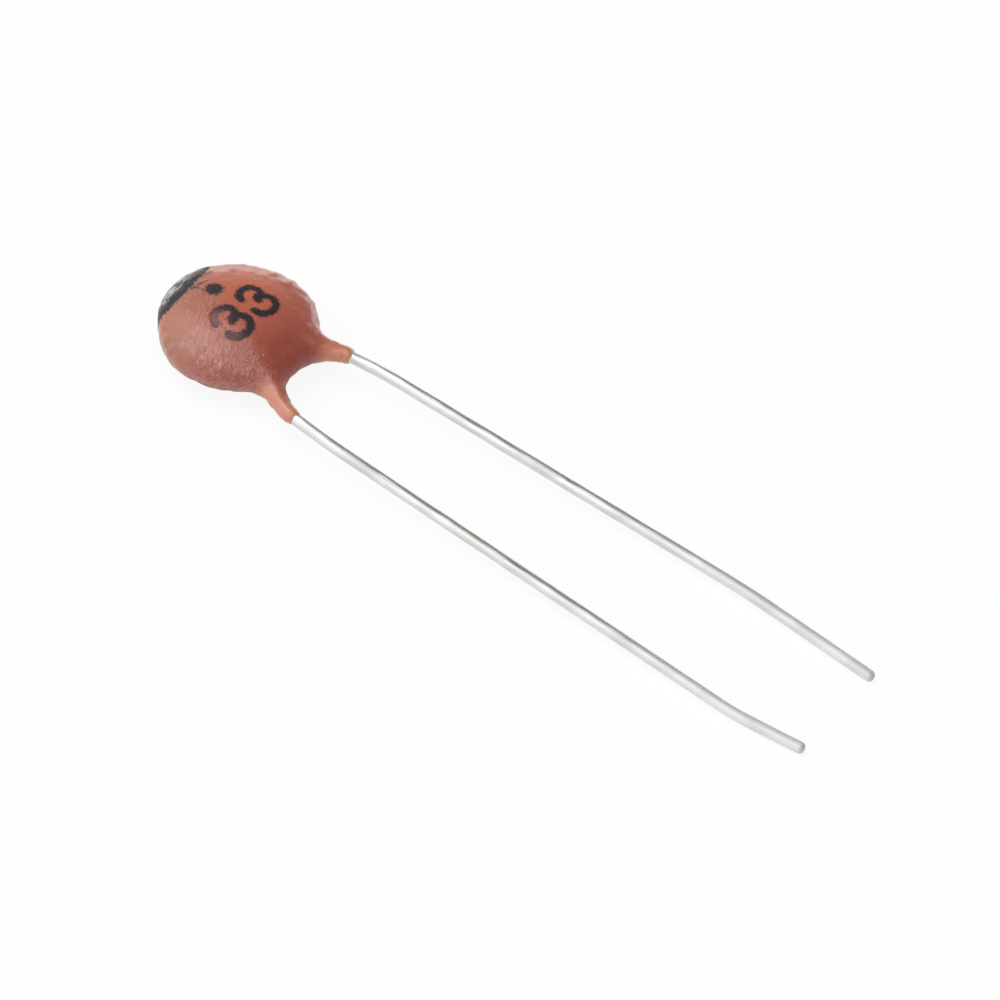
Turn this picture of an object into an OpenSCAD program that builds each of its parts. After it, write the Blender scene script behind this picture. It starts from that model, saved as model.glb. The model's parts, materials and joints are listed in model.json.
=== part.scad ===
// Ceramic disc capacitor with two long wire leads, lying on one face of its disc.
// Sub-parts are drawn about the middle of the disc, leads towards +X, and then laid
// on the plane z = 0 so that the belly of the coating and both wire tips touch it.

/* [Coating] */
// Outside diameter of the coated disc
coat_d = 6.8; // [6.2:0.1:8.0]
// Thickness of the coated disc at its middle
coat_t = 2.6; // [2.4:0.1:3.4]
// Radius of the rounded rim of the coated disc
rim_r = 0.75; // [0.65:0.05:0.9]
// Radius of the coating at the end of each leg, where it thins to a film on the wire
leg_end_r = 0.29; // [0.28:0.01:0.32]
// Radius of the coating where the wire inside each leg bends
leg_kink_r = 0.35; // [0.34:0.01:0.4]
// Radius of the coating where each leg starts to flare
leg_waist_r = 0.44; // [0.42:0.01:0.48]
// Radius that each leg flares to where it meets the disc
leg_root_r = 0.7; // [0.6:0.05:0.75]
// Radius of the curve along which each leg flares
leg_flare_r = 1.1; // [0.9:0.1:1.5]
// How far along X the coating reaches on the left lead
leg_reach_left = 4.56; // [4.4:0.02:4.9]
// How far along X the coating reaches on the right lead
leg_reach_right = 5.04; // [4.6:0.02:5.1]
// Radius of the curved edge between the legs
saddle_r = 1.75; // [1.5:0.05:1.8]
// Radius of the fillet outside the left leg
fillet_left_r = 0.5; // [0.4:0.1:1.0]
// Radius of the fillet outside the right leg
fillet_right_r = 1.6; // [0.8:0.1:1.8]

/* [Ceramic] */
// Diameter of the ceramic disc
ceramic_d = 4.6; // [4.2:0.1:4.8]
// Thickness of the ceramic disc
ceramic_t = 0.3; // [0.2:0.05:0.4]
// Bare ceramic left round each electrode
electrode_margin = 0.4; // [0.2:0.1:0.6]
// Thickness of each silver electrode
electrode_t = 0.04; // [0.03:0.01:0.06]

/* [Solder] */
// Radius of each solder mound where it meets the electrode
solder_r = 1.3; // [1.1:0.1:1.5]
// Solder left between the wire and the electrode
solder_film = 0.05; // [0.04:0.01:0.08]
// Solder over the top of the wire
solder_cover = 0.1; // [0.08:0.02:0.16]

/* [Leads] */
// Diameter of the lead wire
wire_d = 0.5; // [0.4:0.02:0.54]
// Distance along X from the middle of the disc to the left lead's tip
lead_reach = 31.0; // [30:0.1:34]
// How much further along X the right lead's tip lies than the left lead's
tip_stagger = 0.14; // [0:0.02:0.3]
// How far each wire runs past the middle of the disc, on its face
lead_overlap = 0.9; // [0.6:0.1:1.2]
// Rounding of each wire's cut tip
tip_round = 0.2; // [0.1:0.02:0.2]
// Distance along X that the left leg's coating reaches beyond the bend of its wire
cuff_left = 0.21; // [0.15:0.02:0.4]
// Distance along X that the right leg's coating reaches beyond the bend of its wire
cuff_right = 0.44; // [0.2:0.02:0.5]
// Sideways place of the left lead's bend inside its leg
kink_left_y = 1.87; // [1.8:0.01:1.95]
// Sideways place of the right lead's bend inside its leg
kink_right_y = 2.4; // [2.3:0.01:2.5]
// Angle at which the left lead spreads as it leaves the disc
splay_left = 20; // [18:1:22]
// Angle at which the right lead spreads as it leaves the disc
splay_right = 22.5; // [20:0.5:24]
// Radius of the bend inside each leg
kink_bend_r = 2.5; // [1.5:0.5:3]
// Angle at which the left lead spreads after that bend
ease_left = 7; // [5:0.5:9]
// Angle at which the right lead spreads after that bend
ease_right = 4.6; // [3:0.2:7]
// Distance along X from the middle of the disc to where the left lead straightens
ease_left_x = 6.2; // [6:0.1:7]
// Distance along X from the middle of the disc to where the right lead straightens
ease_right_x = 6.9; // [6.5:0.1:7.5]
// Radius of the bend where each lead straightens
ease_bend_r = 20; // [10:1:20]
// Angle at which the left lead still spreads after it straightens
run_left = 1.52; // [0.5:0.02:2]
// Angle at which the right lead still spreads after it straightens
run_right = 1.23; // [0.5:0.02:2]
// Distance along X from the middle of the disc to the left lead's long bend
bow_left_x = 24.6; // [20:0.2:26]
// Distance along X from the middle of the disc to the right lead's end bend
bow_right_x = 28.0; // [24:0.2:28.4]
// Angle at which the left lead's end stretch closes in
close_left = 2.5; // [1:0.5:6]
// Angle at which the right lead's end stretch closes in
close_right = 7.1; // [3:0.5:9]
// Radius of the left lead's long bend
bow_left_r = 40; // [20:5:60]
// Radius of the right lead's end bend
bow_right_r = 12; // [6:1:14]
// Play that keeps each wire clear of the ceramic's edge as it bends down
edge_gap = 0.15; // [0.1:0.05:0.3]
// Slope of each wire as it comes down from the face to the middle of the rim
ramp_angle = 30; // [26:1:36]
// Radius of each wire's small bends inside the coating
ramp_bend_r = 0.6; // [0.5:0.1:0.8]

/* [Hidden] */
$fn = 64;
// How far joined pieces reach into one another
bite = 0.03;
// How much thinner a wire is drawn where it bends
bend_thinning = 0.003;
// How far a curve dips under the surface that it blends into
blend_dip = 0.005;
// How far a cuff stands out from its leg at the wire's bend
cuff_over = 0.01;

coat_r = coat_d / 2;
coat_half = coat_t / 2;
wire_r = wire_d / 2;
// Sphere radius of each domed face, which touches a circle just under the rounded rim
rim_touch_r = rim_r - blend_dip;
dome_r = (pow(coat_r - rim_r, 2) + pow(coat_half, 2) - pow(rim_touch_r, 2)) / (2 * (coat_half - rim_touch_r));
// Angle from the axis at which the dome touches that circle
dome_angle = asin((coat_r - rim_r) / (dome_r - rim_touch_r));
electrode_z = ceramic_t / 2 + electrode_t;
wire_z = electrode_z + solder_film + wire_r;
ramp_start = ceramic_d / 2 + edge_gap;
ramp_end = ramp_start + wire_z / tan(ramp_angle);
longest_reach = lead_reach + tip_stagger;

// ---- Lead routes ---------------------------------------------------------------------

// side is +1 for the left lead and -1 for the right lead. A leg's line runs through the kink
// where its wire bends; leg_dir points along it, away from the disc, and leg_out square to
// it, away from the other lead.
function leg_dir(side) = side > 0 ? [cos(splay_left), sin(splay_left), 0]
                                  : [cos(splay_right), -sin(splay_right), 0];
function leg_out(side) = side > 0 ? [-sin(splay_left), cos(splay_left), 0]
                                  : [-sin(splay_right), -cos(splay_right), 0];
function leg_reach(side) = side > 0 ? leg_reach_left : leg_reach_right;
function kink(side) = side > 0 ? [leg_reach_left - cuff_left, kink_left_y, 0]
                               : [leg_reach_right - cuff_right, -kink_right_y, 0];
// Distance from the middle of the disc to the leg's line
function leg_offset(side) = kink(side) * leg_out(side);
// Point at distance s along a leg's line from its nearest point to the middle of the disc
function leg_point(side, s) = leg_offset(side) * leg_out(side) + s * leg_dir(side);
// Distance along the leg's line at which its wire bends
function kink_s(side) = kink(side) * leg_dir(side);
// Angle at which the lead spreads after that bend
function ease_angle(side) = side > 0 ? ease_left : ease_right;

function up(v, z) = [v[0], v[1], z];
// Point at X = x on the line that leaves p at angle a away from the other lead
function onward(side, p, x, a) = [x, p[1] + side * (x - p[0]) * tan(a), 0];
function cuff_end(side) = onward(side, kink(side), leg_reach(side), ease_angle(side));
function ease(side) = onward(side, kink(side), side > 0 ? ease_left_x : ease_right_x, ease_angle(side));
function bow(side) = side > 0 ? onward(side, ease(side), bow_left_x, run_left)
                              : onward(side, ease(side), bow_right_x, run_right);
function lead_tip(side) = side > 0 ? onward(side, bow(side), lead_reach, -close_left)
                                   : onward(side, bow(side), longest_reach, -close_right);

// Corners of a lead from its soldered end to its tip
function route(side) = [
    up(leg_point(side, -lead_overlap), side * wire_z),
    up(leg_point(side, ramp_start), side * wire_z),
    leg_point(side, ramp_end),
    kink(side),
    ease(side),
    bow(side),
    lead_tip(side)
];
// Bend radius at each inner corner of a route
function bends(side) = [ramp_bend_r, ramp_bend_r, kink_bend_r, ease_bend_r,
                        side > 0 ? bow_left_r : bow_right_r];

// ---- Wire along a route --------------------------------------------------------------

function unit(v) = v / norm(v);
// Any direction square to v
function square_to(v) = unit(cross(v, abs(v[2]) < 0.9 ? [0, 0, 1] : [1, 0, 0]));
// Length that a bend takes up on each side of the corner at b
function setback(a, b, c, bend_r) = bend_r * tan(acos(min(1, unit(b - a) * unit(c - b))) / 2);

// Places its children with their X, Y and Z along ex, ey and ez, at point p
module aligned(ex, ey, ez, p)
    multmatrix([[ex[0], ey[0], ez[0], p[0]],
                [ex[1], ey[1], ez[1], p[1]],
                [ex[2], ey[2], ez[2], p[2]],
                [0, 0, 0, 1]])
        children();

// Straight wire from a to b
module straight(a, b) {
    ez = unit(b - a);
    ex = square_to(ez);
    aligned(ex, cross(ez, ex), ez, a)
        cylinder(r = wire_r, h = norm(b - a));
}

// Straight wire from a to b with its end at b rounded off
module straight_tip(a, b) {
    ez = unit(b - a);
    ex = square_to(ez);
    len = norm(b - a);
    aligned(ex, cross(ez, ex), ez, a)
        rotate_extrude()
            union() {
                square([wire_r, len - tip_round]);
                square([wire_r - tip_round, len]);
                intersection() {
                    translate([wire_r - tip_round, len - tip_round])
                        circle(r = tip_round);
                    square([wire_r, len]);
                }
            }
}

// Bent wire round the corner at b, on the way from a to c, seated in the straight wire at both ends
module bend(a, b, c, bend_r) {
    u = unit(b - a);
    v = unit(c - b);
    turn = acos(u * v);
    inward = unit(v - (u * v) * u);
    start = b - u * bend_r * tan(turn / 2);
    seat = asin(bite / bend_r);
    aligned(-inward, u, cross(-inward, u), start + inward * bend_r)
        rotate([0, 0, -seat])
            rotate_extrude(angle = turn + 2 * seat)
                translate([bend_r, 0])
                    circle(r = wire_r - bend_thinning);
}

// Whole wire along points p with bend radii b at its inner corners
module wire(p, b) {
    last = len(p) - 1;
    for (i = [0 : last - 1]) {
        u = unit(p[i + 1] - p[i]);
        from = i == 0 ? p[0] : p[i] + u * setback(p[i - 1], p[i], p[i + 1], b[i - 1]);
        if (i < last - 1)
            straight(from, p[i + 1] - u * setback(p[i], p[i + 1], p[i + 2], b[i]));
        else
            straight_tip(from, p[last]);
    }
    for (i = [1 : last - 1])
        bend(p[i - 1], p[i], p[i + 1], b[i - 1]);
}

// ---- Coating -------------------------------------------------------------------------

// Domed faces and rounded rim; the domes dip just under the rim's curve where they meet it
module coated_disc() {
    intersection() {
        translate([0, 0, coat_half - dome_r])
            sphere(r = dome_r);
        translate([0, 0, dome_r - coat_half])
            sphere(r = dome_r);
        cylinder(r = coat_r - rim_r + rim_r * sin(dome_angle), h = coat_t, center = true);
    }
    rotate_extrude()
        translate([coat_r - rim_r, 0])
            circle(r = rim_r);
}

// Half section of a leg along its line: flare at the disc, taper to the wire's bend
module leg_section(side) {
    root = coat_r - rim_r;
    rise = leg_root_r - leg_waist_r;
    flare = sqrt(2 * leg_flare_r * rise - rise * rise);
    start = root - rim_r;
    polygon([[0, start], [leg_waist_r, start], [leg_waist_r, root + flare],
             [leg_kink_r, kink_s(side)], [0, kink_s(side)]]);
    difference() {
        translate([0, start])
            square([leg_root_r, root + flare - start]);
        translate([leg_waist_r + leg_flare_r - blend_dip, root + flare])
            circle(r = leg_flare_r);
    }
}

// Half section of a cuff of length len: half a ball behind the wire's bend, and beyond it a curve
// that thins the coating down to its end
module cuff_section(len) {
    r = leg_kink_r + cuff_over;
    drop = r - leg_end_r;
    curve_r = (len * len + drop * drop) / (2 * drop);
    intersection() {
        circle(r = r);
        translate([0, -r])
            square(r);
    }
    intersection() {
        translate([r - curve_r, 0])
            circle(r = curve_r);
        square([r, len]);
    }
    square([leg_end_r - blend_dip, len]);
}

// Leg up to the bend of its wire, and the cuff beyond the bend
module leg(side) {
    out = leg_out(side);
    dir = leg_dir(side);
    aligned(out, cross(dir, out), dir, leg_point(side, 0))
        rotate_extrude()
            leg_section(side);
    cuff = cuff_end(side) - kink(side);
    ez = unit(cuff);
    ex = square_to(ez);
    aligned(ex, cross(ez, ex), ez, kink(side))
        rotate_extrude()
            cuff_section(norm(cuff));
}

// Cutter that leaves an edge of radius r at mid-height, rounded by edge_r
module round_cutter(p, r, edge_r)
    translate(p)
        rotate_extrude()
            difference() {
                translate([0, -coat_t])
                    square([r + edge_r, 2 * coat_t]);
                translate([r + edge_r, 0])
                    circle(r = edge_r);
            }

// Flat web of the given outline, a little thinner than a leg
module web(outline)
    translate([0, 0, bite - leg_kink_r])
        linear_extrude(2 * (leg_kink_r - bite))
            polygon([for (p = outline) [p[0], p[1]]]);

// Middle of the curve between the legs: as far from one leg's line as from the other
function saddle_middle() =
    let (gap = saddle_r + leg_waist_r - bite,
         n = leg_out(1), m = leg_out(-1),
         a = leg_offset(1) - gap, b = leg_offset(-1) - gap,
         det = n[0] * m[1] - n[1] * m[0])
    [(a * m[1] - b * n[1]) / det, (n[0] * b - m[0] * a) / det, 0];

// Middle of the fillet outside a leg: touches the disc and the leg
function fillet_middle(side, r) =
    let (across = leg_offset(side) + leg_waist_r + r - bite)
    across * leg_out(side) + sqrt(pow(coat_r - bite + r, 2) - across * across) * leg_dir(side);

module outer_fillet(side, r) {
    p = fillet_middle(side, r);
    difference() {
        web([[0, 0, 0], unit(p) * (coat_r - bite), p, leg_point(side, p * leg_dir(side))]);
        round_cutter(p, r, leg_waist_r);
    }
}

module coating_form() {
    mid = saddle_middle();
    difference() {
        union() {
            coated_disc();
            web([[0, 0, 0], leg_point(-1, mid * leg_dir(-1)), mid, leg_point(1, mid * leg_dir(1))]);
        }
        round_cutter(mid, saddle_r, rim_r);
    }
    leg(1);
    leg(-1);
    outer_fillet(1, fillet_left_r);
    outer_fillet(-1, fillet_right_r);
}

// ---- Pieces inside, drawn about the middle of the disc --------------------------------

module ceramic_form()
    translate([0, 0, -ceramic_t / 2])
        cylinder(d = ceramic_d, h = ceramic_t);

module electrode_form(side)
    translate([0, 0, side > 0 ? ceramic_t / 2 : -electrode_z])
        cylinder(d = ceramic_d - 2 * electrode_margin, h = electrode_t);

module lead_form(side)
    wire(route(side), bends(side));

// Low dome of solder on the electrode, over the wire's nearest point to the middle
module solder_mound(side) {
    height = solder_film + wire_d + solder_cover;
    ball_r = (solder_r * solder_r + height * height) / (2 * height);
    translate(up(leg_point(side, 0), side * electrode_z))
        rotate([side > 0 ? 0 : 180, 0, 0])
            intersection() {
                translate([0, 0, height - ball_r])
                    sphere(r = ball_r);
                cylinder(r = ball_r, h = height + bite);
            }
}

module solder_form(side)
    difference() {
        solder_mound(side);
        lead_form(side);
    }

// ---- Laying the part down -------------------------------------------------------------

// The disc pitches until the wire tips come down to the plane that its belly rests on
function belly_z(pitch) = dome_r - (dome_r - coat_half) * cos(pitch);
tip_x = longest_reach - tip_round;
pitch_guess = asin((coat_half - wire_r) / tip_x);
rest_pitch = asin((belly_z(pitch_guess) - wire_r * cos(pitch_guess)) / tip_x);
rest_z = belly_z(rest_pitch);
// The origin is below the middle of the part's length
back_x = -(coat_r - rim_r) * cos(rest_pitch) - rim_r;
front_x = longest_reach * cos(rest_pitch);
rest_x = -(back_x + front_x) / 2;

module laid()
    translate([rest_x, 0, rest_z])
        rotate([0, rest_pitch, 0])
            children();

// ---- Sub-parts -------------------------------------------------------------------------

module coating()
    color([0.70, 0.36, 0.27])
        laid()
            difference() {
                coating_form();
                ceramic_form();
                electrode_form(1);
                electrode_form(-1);
                solder_mound(1);
                solder_mound(-1);
                lead_form(1);
                lead_form(-1);
            }

module ceramic_disc()
    color([0.86, 0.83, 0.75])
        laid()
            ceramic_form();

module electrode_top()
    color([0.80, 0.80, 0.78])
        laid()
            electrode_form(1);

module electrode_bottom()
    color([0.80, 0.80, 0.78])
        laid()
            electrode_form(-1);

module solder_top()
    color([0.66, 0.67, 0.69])
        laid()
            solder_form(1);

module solder_bottom()
    color([0.66, 0.67, 0.69])
        laid()
            solder_form(-1);

module lead_left()
    color([0.82, 0.82, 0.82])
        laid()
            lead_form(1);

module lead_right()
    color([0.82, 0.82, 0.82])
        laid()
            lead_form(-1);

coating();
ceramic_disc();
electrode_top();
electrode_bottom();
solder_top();
solder_bottom();
lead_left();
lead_right();
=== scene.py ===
"""Looks of a small dipped ceramic disc capacitor with two long tinned leads.

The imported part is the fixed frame. The coating and the two leads get finely modelled
skins that stand for their plain solids, and the pieces sealed inside keep their solids
and get a finish. Sizes are in millimetres in the part's own frame, whose origin is the
middle of the disc with the leads towards +X, and become metres in the row frame when a
mesh is made.
"""

import json
import logging
import math
from dataclasses import dataclass
from enum import Enum
from typing import Any, Callable, Sequence, Union

import bmesh
import bpy
import numpy as np
from mathutils import Matrix, Vector


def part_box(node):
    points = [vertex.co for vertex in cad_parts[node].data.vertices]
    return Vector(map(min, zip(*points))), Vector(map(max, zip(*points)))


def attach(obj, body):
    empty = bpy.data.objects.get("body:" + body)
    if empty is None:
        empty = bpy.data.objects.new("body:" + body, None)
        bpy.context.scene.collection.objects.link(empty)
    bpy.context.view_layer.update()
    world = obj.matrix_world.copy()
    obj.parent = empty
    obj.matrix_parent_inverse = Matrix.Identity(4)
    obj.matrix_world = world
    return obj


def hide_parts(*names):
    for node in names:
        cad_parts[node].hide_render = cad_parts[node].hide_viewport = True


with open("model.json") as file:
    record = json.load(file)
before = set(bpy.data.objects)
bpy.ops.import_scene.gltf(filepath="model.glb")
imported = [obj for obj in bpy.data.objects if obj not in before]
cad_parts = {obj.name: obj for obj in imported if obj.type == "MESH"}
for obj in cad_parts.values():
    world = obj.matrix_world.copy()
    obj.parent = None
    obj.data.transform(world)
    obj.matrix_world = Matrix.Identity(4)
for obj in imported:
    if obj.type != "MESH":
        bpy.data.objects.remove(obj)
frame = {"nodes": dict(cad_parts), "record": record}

MM = 0.001
LOG = logging.getLogger("disc_capacitor")


class Slot(Enum):
    """Material slots of the part's record."""

    COATING = "coating"
    CERAMIC = "ceramic"
    SILVER = "silver"
    SOLDER = "solder"
    WIRE = "tinned_wire"


class Side(Enum):
    """The two leads, named as seen from the disc along them."""

    LEFT = 1
    RIGHT = -1


# ---- Shader maths ----------------------------------------------------------------------


def operator(name: str, swapped: bool = False) -> "Callable[[Value, Number], Value]":
    """Makes the method that stands for one of Python's operators.

    Args:
        name: The Math node's operation.
        swapped: Whether the other number comes first.

    Returns:
        A method that adds the Math node.
    """

    def method(self: "Value", other: "Number") -> "Value":
        """Adds the Math node."""
        return self.shader.math(name, *((other, self) if swapped else (self, other)))

    return method


class Value:
    """An output socket that Python's operators turn into Math nodes."""

    def __init__(self, shader: "Shader", socket: bpy.types.NodeSocket) -> None:
        """Keeps the socket and the shader that it belongs to."""
        self.shader = shader
        self.socket = socket

    __add__, __radd__ = operator("ADD"), operator("ADD", swapped=True)
    __sub__, __rsub__ = operator("SUBTRACT"), operator("SUBTRACT", swapped=True)
    __mul__, __rmul__ = operator("MULTIPLY"), operator("MULTIPLY", swapped=True)
    most = operator("MAXIMUM")

    def ramp(self, low: float, high: float, start: float = 0.0, end: float = 1.0) -> "Value":
        """Eases from start to end as the value goes from low to high.

        Args:
            low: Value at which the ramp starts.
            high: Value at which the ramp ends.
            start: Result at and below low.
            end: Result at and above high.

        Returns:
            The eased value.
        """
        return self.shader.node(
            "ShaderNodeMapRange",
            {"interpolation_type": "SMOOTHSTEP"},
            {"Value": self, "From Min": low, "From Max": high, "To Min": start, "To Max": end},
        )


Number = Union[Value, float]
Colour = tuple[float, float, float]
Paint = Union[Value, Colour]
Span = tuple[float, float]


class Shader:
    """Node tree of one material or world, built from Python expressions."""

    def __init__(self, tree: bpy.types.NodeTree) -> None:
        """Clears the tree."""
        self.tree = tree
        tree.nodes.clear()

    @classmethod
    def material(cls, name: str) -> tuple["Shader", bpy.types.Material]:
        """Makes a new material and its shader.

        Args:
            name: The material's name.

        Returns:
            The shader and the material.
        """
        made = bpy.data.materials.new(name)
        made.use_nodes = True
        return cls(made.node_tree), made

    def node(
        self, kind: str, settings: dict[str, Any], inputs: dict[Any, Any], output: Any = 0
    ) -> Value:
        """Adds a node.

        Args:
            kind: The node's type.
            settings: Properties of the node, set before its sockets are filled.
            inputs: Numbers, vectors, colours or values by socket name or place.
            output: Name or place of the socket that is returned.

        Returns:
            The chosen output.
        """
        node = self.tree.nodes.new(kind)
        for key, value in settings.items():
            setattr(node, key, value)
        for key, value in inputs.items():
            socket = node.inputs[key]
            if isinstance(value, Value):
                self.tree.links.new(value.socket, socket)
            elif isinstance(value, tuple) and len(value) == 3 and socket.type == "RGBA":
                socket.default_value = (*value, 1.0)
            else:
                socket.default_value = value
        return Value(self, node.outputs[output])

    def math(self, operation: str, a: Number, b: Number) -> Value:
        """Adds a Math node on two numbers."""
        return self.node("ShaderNodeMath", {"operation": operation}, {0: a, 1: b})

    def mix(self, factor: Number, a: Paint, b: Paint) -> Value:
        """Mixes two colours, with a factor that is the share of the second."""
        settings = {"data_type": "RGBA", "blend_type": "MIX", "clamp_factor": True}
        return self.node("ShaderNodeMix", settings, {"Factor": factor, 6: a, 7: b}, 2)

    def layers(self, base: Paint, *layers: tuple[Number, Paint]) -> Paint:
        """Lays colours over a base, one after the other.

        Args:
            base: Colour at the bottom.
            layers: Each layer's share and colour.

        Returns:
            The colour on top.
        """
        for share, colour in layers:
            base = self.mix(share, base, colour)
        return base

    def place(self, scale: Sequence[float] = (1, 1, 1), turn: Sequence[float] = (0, 0, 0)) -> Value:
        """Object coordinates in millimetres.

        Args:
            scale: Stretch of the pattern's frequency along each axis.
            turn: Angles in degrees by which the pattern is turned.

        Returns:
            The coordinates.
        """
        inputs = {
            "Vector": self.node("ShaderNodeTexCoord", {}, {}, "Object"),
            "Rotation": tuple(math.radians(a) for a in turn),
            "Scale": tuple(MM / s for s in scale),
        }
        return self.node("ShaderNodeMapping", {"vector_type": "TEXTURE"}, inputs)

    def noise(
        self, place: Value, per_mm: float, detail: float, rough: float, warp: float = 0.0
    ) -> Value:
        """Soft noise around one half.

        Args:
            place: Where it is read.
            per_mm: Waves to the millimetre.
            detail: Octaves of finer noise.
            rough: Strength of the finer octaves.
            warp: How far the noise distorts itself.

        Returns:
            The noise, from about 0.2 to 0.8.
        """
        inputs = {"Vector": place, "Scale": per_mm, "Detail": detail}
        inputs |= {"Roughness": rough, "Distortion": warp}
        return self.node("ShaderNodeTexNoise", {"noise_dimensions": "3D"}, inputs)

    def cells(self, place: Value, per_mm: float) -> Value:
        """Distance to the nearest of a scatter of points.

        Args:
            place: Where it is read.
            per_mm: Points to the millimetre.

        Returns:
            The distance, from 0 at a point.
        """
        inputs = {"Vector": place, "Scale": per_mm, "Randomness": 1.0}
        return self.node("ShaderNodeTexVoronoi", {"feature": "F1"}, inputs, "Distance")

    def attribute(self, name: str) -> Value:
        """A number that the mesh keeps at each of its points."""
        return self.node("ShaderNodeAttribute", {"attribute_name": name}, {}, "Fac")

    def relief(self, *layers: tuple[Value, float]) -> Value:
        """Turns heights from 0 to 1 into a normal.

        Args:
            layers: Each layer's height and its depth in millimetres.

        Returns:
            The normal of them all.
        """
        inputs: dict[str, Any] = {}
        for height, depth in layers:
            inputs |= {"Height": height, "Strength": 1.0, "Distance": depth * MM}
            inputs["Normal"] = self.node("ShaderNodeBump", {}, inputs)
        return inputs["Normal"]

    def surface(self, colour: Paint, rough: Number, normal: Value, **others: Number) -> None:
        """Ends the tree in one Principled shader.

        Args:
            colour: Colour of the surface.
            rough: Roughness.
            normal: Direction that the surface faces.
            others: Further inputs by name, with a low line for each space.
        """
        inputs = {"Base Color": colour, "Roughness": rough, "Normal": normal}
        inputs |= {name.replace("_", " "): value for name, value in others.items()}
        self.output(self.node("ShaderNodeBsdfPrincipled", {}, inputs))

    def output(self, shader: Value, kind: str = "ShaderNodeOutputMaterial") -> None:
        """Links a shader to the tree's output."""
        self.tree.links.new(shader.socket, self.tree.nodes.new(kind).inputs["Surface"])


# ---- Forms -------------------------------------------------------------------------------


def unit(v: np.ndarray) -> np.ndarray:
    """Vectors scaled to length 1 along the last axis."""
    return v / np.linalg.norm(v, axis=-1, keepdims=True)


def smooth(low: float, high: float, x: np.ndarray) -> np.ndarray:
    """Eases from 0 at low to 1 at high as 3t^2 - 2t^3."""
    t = np.clip((x - low) / (high - low), 0.0, 1.0)
    return t * t * (3.0 - 2.0 * t)


def circle(angle: np.ndarray, side: int = 1) -> np.ndarray:
    """Points of the unit circle at angles in radians from +X, counted towards side * Y."""
    return np.stack([np.cos(angle), side * np.sin(angle)], axis=-1)


def azimuth_of(p: np.ndarray) -> np.ndarray:
    """Angle in radians, from +X towards +Y, at which points lie in plan."""
    return np.arctan2(p[..., 1], p[..., 0])


def smooth_union(a: np.ndarray, b: np.ndarray, reach: Any) -> np.ndarray:
    """Smaller of two distances, with a fillet where both are within reach of each other."""
    h = np.clip(0.5 + 0.5 * (b - a) / reach, 0.0, 1.0)
    return b + (a - b) * h - reach * h * (1.0 - h)


def segment_distance(p: np.ndarray, line: np.ndarray) -> np.ndarray:
    """Distance of plane points to a polyline.

    Each point is dropped on each piece of the line, kept within the piece's ends, and the
    shortest of those drops counts.

    Args:
        p: Points, n by 2.
        line: Corners of the polyline, m by 2.

    Returns:
        The n distances.
    """
    a, d = line[:-1], np.diff(line, axis=0)
    t = np.clip(((p[:, None] - a) * d).sum(-1) / (d * d).sum(-1), 0.0, 1.0)
    return np.linalg.norm(p[:, None] - a - t[..., None] * d, axis=-1).min(-1)


@dataclass(frozen=True)
class Spot:
    """A soft round place, given in plan."""

    x: float
    y: float
    radius: float

    def at(self, p: np.ndarray) -> np.ndarray:
        """1 in the middle, easing out as a bell curve of the distance in plan."""
        away = np.linalg.norm(p[:, :2] - (self.x, self.y), axis=1)
        return np.exp(-((away / self.radius) ** 2))


@dataclass(frozen=True)
class Bulge:
    """A place on the rim where the resin stands out, or draws in, about an azimuth."""

    azimuth: float
    width: float
    height: float

    def at(self, azimuth: np.ndarray) -> np.ndarray:
        """Height of the bulge: a bell curve of the angle.

        Args:
            azimuth: Azimuths in radians.

        Returns:
            Heights in millimetres.
        """
        away = np.degrees(azimuth) - self.azimuth
        away = (away + 180.0) % 360.0 - 180.0
        return self.height * np.exp(-((away / self.width) ** 2))


@dataclass(frozen=True)
class Ripple:
    """Seeded smooth noise: a sum of sine waves of random direction, length and phase."""

    seed: int
    longest: float
    shortest: float
    waves: int = 28

    def at(self, p: np.ndarray) -> np.ndarray:
        """Height of the noise.

        Args:
            p: Points n by 3.

        Returns:
            The n heights, from about -1 to 1.
        """
        rng = np.random.default_rng(self.seed)
        lengths = np.exp(rng.uniform(np.log(self.shortest), np.log(self.longest), self.waves))
        waves = unit(rng.normal(size=(self.waves, 3))) * (2 * math.pi / lengths)[:, None]
        phases = rng.uniform(0, 2 * math.pi, self.waves)
        return np.sin(p @ waves.T + phases).sum(-1) / math.sqrt(self.waves)


@dataclass(frozen=True)
class Lay:
    """Where the part's own frame lies in the row frame."""

    origin: np.ndarray
    axes: np.ndarray

    @classmethod
    def from_frame(cls) -> "Lay":
        """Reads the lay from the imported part.

        The ceramic disc's box is centred on the part's own origin, and both leads' end
        stretches run in its middle plane, so the plane's normal is square to their axes.

        Returns:
            The lay.
        """
        low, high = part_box("ceramic_disc")
        pins = {m["name"]: np.array(m["axis"], float) for m in frame["record"]["mounts"]}
        normal = unit(np.cross(pins["lead_left_pin"], pins["lead_right_pin"]))
        ahead = unit(np.cross([0.0, 1.0, 0.0], normal))
        axes = np.array([ahead, np.cross(normal, ahead), normal])
        return cls(np.array((low + high) / 2) / MM, axes)

    def to_row(self, p: np.ndarray) -> np.ndarray:
        """Points of the own frame in metres in the row frame."""
        return (p @ self.axes + self.origin) * MM

    def to_own(self, p: np.ndarray) -> np.ndarray:
        """Points of the row frame in millimetres in the own frame."""
        return (p / MM - self.origin) @ self.axes.T


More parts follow.
